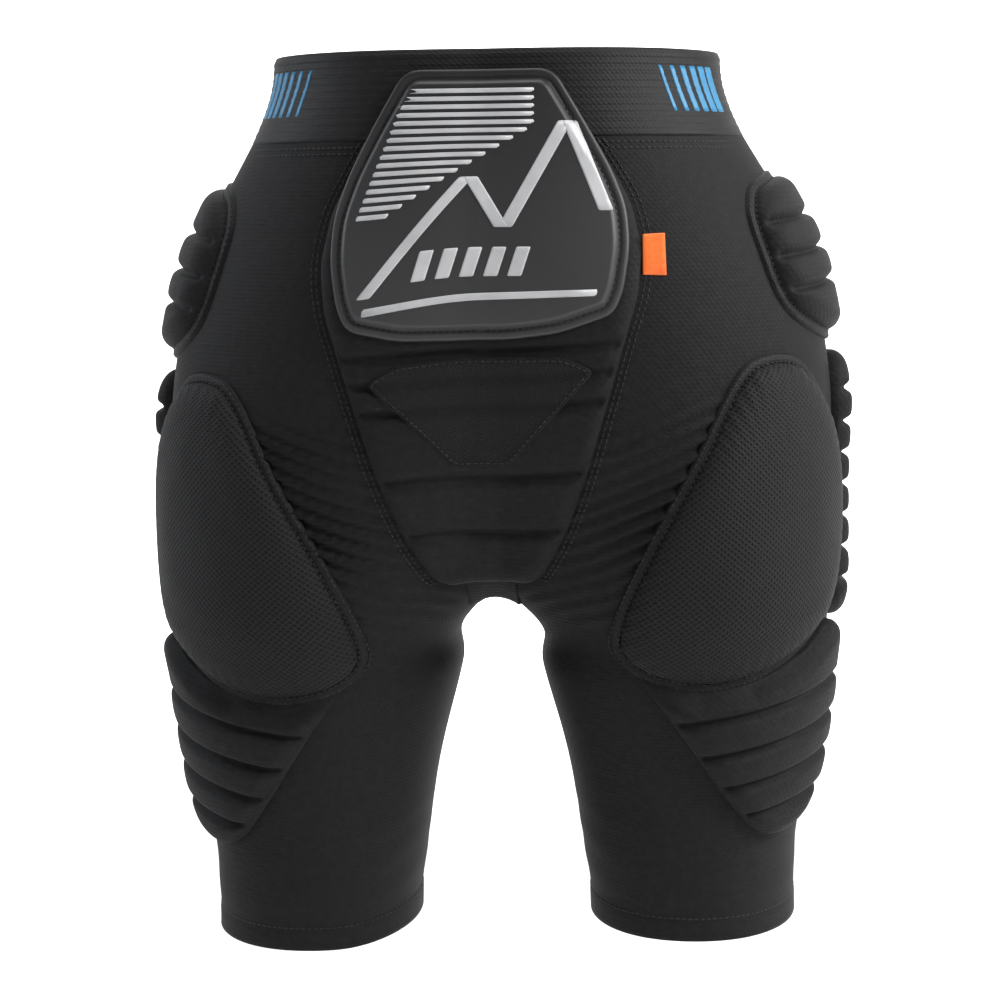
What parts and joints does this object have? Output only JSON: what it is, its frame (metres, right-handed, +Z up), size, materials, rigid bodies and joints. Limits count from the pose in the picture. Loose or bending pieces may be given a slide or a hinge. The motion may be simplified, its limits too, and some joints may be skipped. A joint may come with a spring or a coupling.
{
  "type": "padded impact shorts",
  "caption": "Padded impact shorts for skiing: stretch shell, elastic waistband, moulded tailbone plate on a ribbed V-shaped pad, and hip, side, buttock and thigh pads",
  "frame": {"origin": "centre of the waist opening, level with the top edge of the waistband", "axes": "+Z up along the wearer's body, +Y the wearer's forward, +X the wearer's right"},
  "size_m": [0.402, 0.2242, 0.487],
  "materials": {
    "elastic": "black woven elastic with a soft sheen",
    "shell_fabric": "black stretch knit, fine jersey face",
    "pad_fabric": "black padded knit with sewn ribs",
    "mesh_fabric": "black open mesh over foam",
    "foam": "dark grey closed-cell impact foam",
    "plate_rubber": "satin charcoal moulded rubber",
    "emblem_print": "raised silver transfer",
    "waist_print": "flat blue transfer print",
    "binding_tape": "black folded binding tape, two rows of stitches",
    "tag_rubber": "orange soft rubber tab",
    "gripper_silicone": "translucent dark silicone strip"
  },
  "bodies": {
    "pelvis": {"waistband": "elastic", "tailbone_panel": "shell_fabric", "crotch_gusset": "shell_fabric", "tailbone_cover": "pad_fabric", "tailbone_foam": "foam", "tailbone_plate": "plate_rubber", "plate_emblem": "emblem_print", "mesh_patch": "mesh_fabric", "waist_print_left": "waist_print", "seat_panel_left": "shell_fabric", "front_panel_left": "shell_fabric", "thigh_pad_cover_left": "mesh_fabric", "thigh_pad_foam_left": "foam", "thigh_pad_binding_left": "binding_tape", "side_pad_cover_left": "pad_fabric", "side_pad_foam_left": "foam", "hip_pad_cover_left": "pad_fabric", "hip_pad_foam_left": "foam", "hip_pad_binding_left": "binding_tape", "waist_print_right": "waist_print", "seat_panel_right": "shell_fabric", "front_panel_right": "shell_fabric", "thigh_pad_cover_right": "mesh_fabric", "thigh_pad_foam_right": "foam", "thigh_pad_binding_right": "binding_tape", "side_pad_cover_right": "pad_fabric", "side_pad_foam_right": "foam", "hip_pad_cover_right": "pad_fabric", "hip_pad_foam_right": "foam", "hip_pad_binding_right": "binding_tape"},
    "left_leg": {"leg_back_panel_left": "shell_fabric", "leg_front_panel_left": "shell_fabric", "lower_thigh_pad_cover_left": "pad_fabric", "lower_thigh_pad_foam_left": "foam", "leg_hem_left": "shell_fabric", "hem_gripper_left": "gripper_silicone"},
    "right_leg": {"leg_back_panel_right": "shell_fabric", "leg_front_panel_right": "shell_fabric", "lower_thigh_pad_cover_right": "pad_fabric", "lower_thigh_pad_foam_right": "foam", "leg_hem_right": "shell_fabric", "hem_gripper_right": "gripper_silicone"},
    "tag": {"side_tag": "tag_rubber"}
  },
  "joints": [
    {"name": "left_leg_flex", "type": "hinge", "parent": "pelvis", "child": "left_leg", "pos_m": [-0.101, -0.008, -0.24], "axis": [1, 0, 0], "range_deg": [0, 40]},
    {"name": "right_leg_flex", "type": "hinge", "parent": "pelvis", "child": "right_leg", "pos_m": [0.101, -0.008, -0.24], "axis": [1, 0, 0], "range_deg": [0, 40]},
    {"name": "tag_flap", "type": "hinge", "parent": "pelvis", "child": "tag", "pos_m": [0.0846, -0.1145, -0.107], "axis": [0, 0, -1], "range_deg": [0, 80]}
  ]
}
